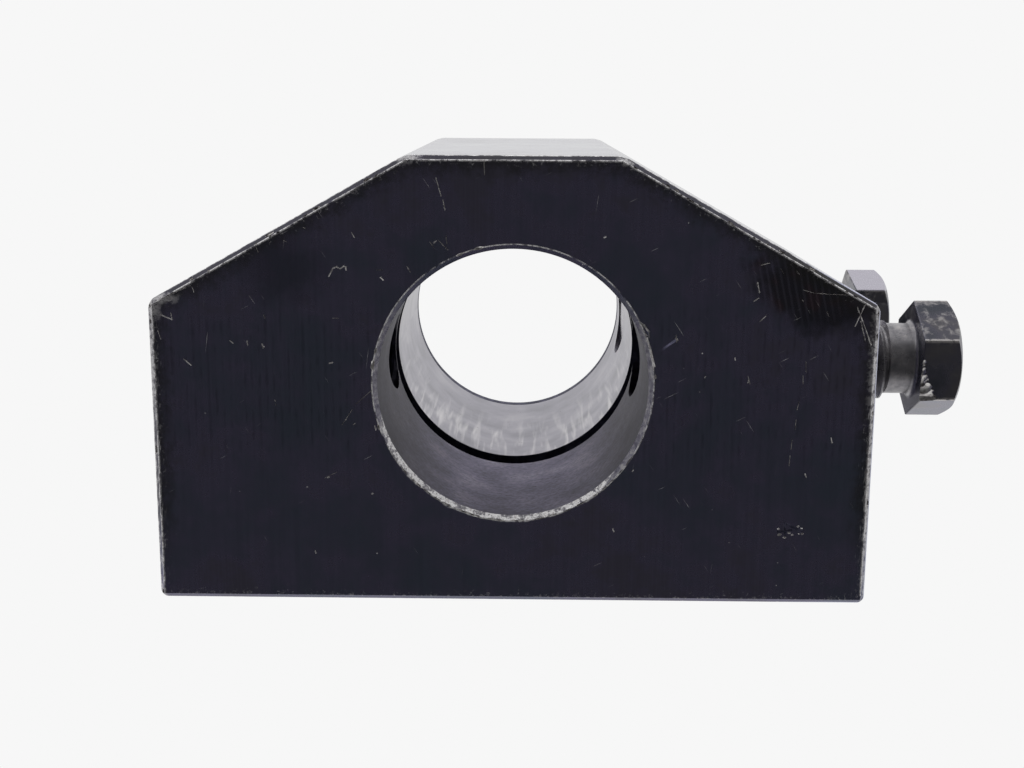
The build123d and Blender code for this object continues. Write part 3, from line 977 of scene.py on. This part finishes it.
def clamp_screw(name, standoff, place_y, turn, damage):
    """Build one screw and put it in its place; damage is a list of knocks on its head."""
    rod_bm = threaded(crest_radius, 5.1, 0.24, 1.64, screw_length + 1.0, -across, upward)
    rod = shape(rod_bm, name, screw_steel)
    envelope = (
        (neck_length, 0), (neck_length, 5.8), (neck_length + 0.5, crest_radius),
        (screw_length - 0.3, crest_radius), (screw_length, 6.0), (screw_length, 0),
    )
    combine(rod, shape(turned(envelope, -across, upward, 96), "envelope", screw_steel), "INTERSECT")
    neck = (
        (neck_length + 0.3, 0), (neck_length + 0.3, 5.0), (neck_length, 5.45), (0.8, 5.45), (0.5, 5.5),
        (0.24, 5.68), (0.07, 5.94), (0, 6.25), (-0.5, 6.25), (-0.5, 0),
    )
    combine(rod, shape(turned(neck, -across, upward, 96), "neck", screw_steel), "UNION")

    head_bm = bmesh.new()
    bmesh.ops.create_circle(head_bm, segments=6, radius=head_corner, cap_ends=True)
    quarter = Matrix.Rotation(radians(90), 3, "Y")
    bmesh.ops.rotate(head_bm, cent=(0, 0, 0), matrix=quarter, verts=head_bm.verts)
    grown = bmesh.ops.extrude_face_region(head_bm, geom=head_bm.faces[:])
    bmesh.ops.translate(head_bm, vec=(head_height, 0, 0), verts=points_in(grown["geom"]))
    bmesh.ops.recalc_face_normals(head_bm, faces=head_bm.faces)
    soft_edges = [e for e in head_bm.edges if min(v.co.x for v in e.verts) < 0.01]
    bevel(head_bm, soft_edges, offset=0.16, segments=3)
    head = shape(head_bm, "head", screw_steel)
    crown = (
        (-1, 0), (-1, head_corner + 1), (head_height - crown_drop - tan(radians(30)), head_corner + 1),
        (head_height, crown_radius), (head_height, 0),
    )
    combine(head, shape(turned(crown, across, upward, 128), "crown", screw_steel), "INTERSECT")
    combine(rod, head, "UNION")
    if damage:
        damage_bm = bmesh.new()
        for centre, size, slant in damage:
            lump(damage_bm, centre, size, turn=slant, rough=0.5)
        combine(rod, shape(damage_bm, "damage", torn), "DIFFERENCE", overlaps=True)
    place = Matrix.Translation((half_width + standoff, place_y, bore_height))
    rod.data.transform(place @ Matrix.Rotation(radians(turn), 4, "X"))
    return rod


front_turn = 32.9
knocks = []
for along, degrees, size in (
    (0.3, 207, (2.3, 0.6, 1.7)), (0.2, 199, (1.6, 0.5, 1.7)), (0.1, 191, (0.9, 0.42, 1.6)),
    (0.0, 182, (0.6, 0.36, 1.5)), (0.0, 173, (0.4, 0.3, 1.2)),
):
    local = radians(degrees - front_turn)
    reach = head_flats / 2 / cos(radians(degrees - (front_turn + 150))) + 0.22
    knocks.append((Vector((along, reach * cos(local), reach * sin(local))), size, 0.0))
for end, standoff, place_y, turn, damage in (
    ("front", 10.6, front_screw_y, front_turn, knocks), ("rear", 9.1, rear_screw_y, 15.8, []),
):
    piece = clamp_screw(f"clamp_screw_{end}_dressed", standoff, place_y, turn, damage)
    finish_piece(piece, f"clamp_screw_{end}_dressed", f"{end}_screw", "screw_steel", f"clamp_screw_{end}")

# %% [markdown]
# The stage is one white sheet: flat under the block, and turned up through a small round
# bend behind it, so that no corner shows. It is a profile pushed sideways. Seen by the
# camera it is mostly its own pale light, so the background stays even, with enough of the
# lit surface left to hold a soft shadow. In a reflection it is almost all its own glow, and
# that glow is painted light: it fades with the distance in front of the block, and a painted
# shadow dims it just in front of the block. Its back is clear, so the base can be looked at
# from below.

# %% Stage
stage_bm = bmesh.new()
floor, half_sheet, bend_y, bend = -0.00005, 1.3, 0.298, 0.006
sheet = [(-half_sheet, floor), (bend_y, floor)]
sheet += [(bend_y + bend * sin(radians(a)), bend - bend * cos(radians(a)) + floor) for a in range(10, 91, 10)]
sheet += [(bend_y + bend, 0.9)]
points = [stage_bm.verts.new((-half_sheet, y, z)) for y, z in sheet]
edges = [stage_bm.edges.new(pair) for pair in zip(points, points[1:])]
drawn = bmesh.ops.extrude_edge_only(stage_bm, edges=edges)
bmesh.ops.translate(stage_bm, vec=(2 * half_sheet, 0, 0), verts=points_in(drawn["geom"]))
bmesh.ops.recalc_face_normals(stage_bm, faces=stage_bm.faces)
if stage_bm.faces[:][0].normal.z < 0:
    bmesh.ops.reverse_faces(stage_bm, faces=stage_bm.faces)
white = bpy.data.materials.new("white_sheet")
white.use_nodes = True
white.node_tree.nodes.clear()
put = partial(add_node, white.node_tree)
path = put("LightPath")
lit = put("BsdfDiffuse", Color=linear("#e6e6e6"))
spot = put("SeparateXYZ", put("TexCoord").outputs["Object"])
# Painted light and shadow: in reflections the sheet's glow fades with distance in front of the block and dips
# just in front of it.
nearness = put("MapRange", spot.outputs["Y"], -1.3, 0.1)
reflected_glow_with_painted_shadow = put("ValToRGB", nearness, stops=(
    (0.22, "#505050"), (0.42, "#4a4a4a"), (0.587, "#686868"), (0.694, "#909090"),
    (0.735, "#cccccc"), (0.775, "#ffffff"), (0.837, "#ffffff"), (0.855, "#d4d4d4"),
    (0.87, "#c6c6c6"), (0.886, "#b8b8b8"), (0.9, "#bebebe"), (0.957, "#ffffff"),
))
on_wall = put("MapRange", spot.outputs["Z"], 0.0, 0.005)
up_wall = put("MapRange", spot.outputs["Z"], 0.0, 0.15)
wall = put("Mix", up_wall, linear("#f0f0f0"), linear("#fcfcfc"), data_type="RGBA")
plain = put("Mix", on_wall, linear("#fbfbfb"), wall, data_type="RGBA")
is_glossy = path.outputs["Is Glossy Ray"]
light_seen = put("Mix", is_glossy, plain, reflected_glow_with_painted_shadow, data_type="RGBA")
glossy_share = put("MapRange", reflected_glow_with_painted_shadow, 0.25, 1.0, 1.0, 0.85)
glossy_part = put("MULTIPLY", is_glossy, glossy_share)
clear_view = put("MAXIMUM", path.outputs["Is Camera Ray"], path.outputs["Is Transmission Ray"])
share = put("MULTIPLY_ADD", clear_view, 0.82, glossy_part)
glow = put("Emission", Color=light_seen, Strength=1.0)
mixed = put("MixShader", share, lit, glow)
clear = put("BsdfTransparent")
side = put("NewGeometry")
both = put("MixShader", side.outputs["Backfacing"], mixed, clear)
put("OutputMaterial", Surface=both)
stage = shape(stage_bm, "white_sheet", white)
stage.data.shade_smooth()
print("stage faces", len(stage.data.polygons))

# %% [markdown]
# The light is a large soft lamp overhead and a weaker one at the front left. They light the
# sheet, but the metal doesn't mirror them. What it mirrors is the world: bright behind and
# overhead, and dim in front, where the room was. That is what makes the top of the front
# face dark and the bore's wall bright. To the camera the world is plain and pale.

# %% Light
for name, place, size, power in (
    ("overhead_softbox", (0.05, 0.2, 0.85), 0.9, 10.0), ("front_softbox", (-0.6, -0.6, 0.5), 0.5, 2.0),
):
    lamp = bpy.data.objects.new(name, bpy.data.lights.new(name, "AREA"))
    lamp.data.size = size
    lamp.data.energy = power
    lamp.location = place
    lamp.rotation_euler = (Vector((0, 0, 0.03)) - Vector(place)).to_track_quat("-Z", "Y").to_euler()
    lamp.visible_glossy = False
    scene.collection.objects.link(lamp)

world = bpy.data.worlds.new("room")
scene.world = world
world.use_nodes = True
world.node_tree.nodes.clear()
put = partial(add_node, world.node_tree)
ways = put("SeparateXYZ", put("TexCoord").outputs["Generated"])
behind_level = put("MapRange", ways.outputs["Z"], 0.75, 0.95, 0.85, 0.7, interpolation_type="SMOOTHSTEP")
toward_back = put("MapRange", ways.outputs["Y"], -0.75, -0.1, interpolation_type="SMOOTHSTEP")
room_level = put("Mix", toward_back, 0.09, behind_level)
path = put("LightPath")
level = put("Mix", path.outputs["Is Camera Ray"], room_level, 0.93)
air = put("Background", Color=level, Strength=1.0)
put("OutputWorld", Surface=air)
print("world nodes", len(world.node_tree.nodes))
scene.view_settings.view_transform = "Standard"
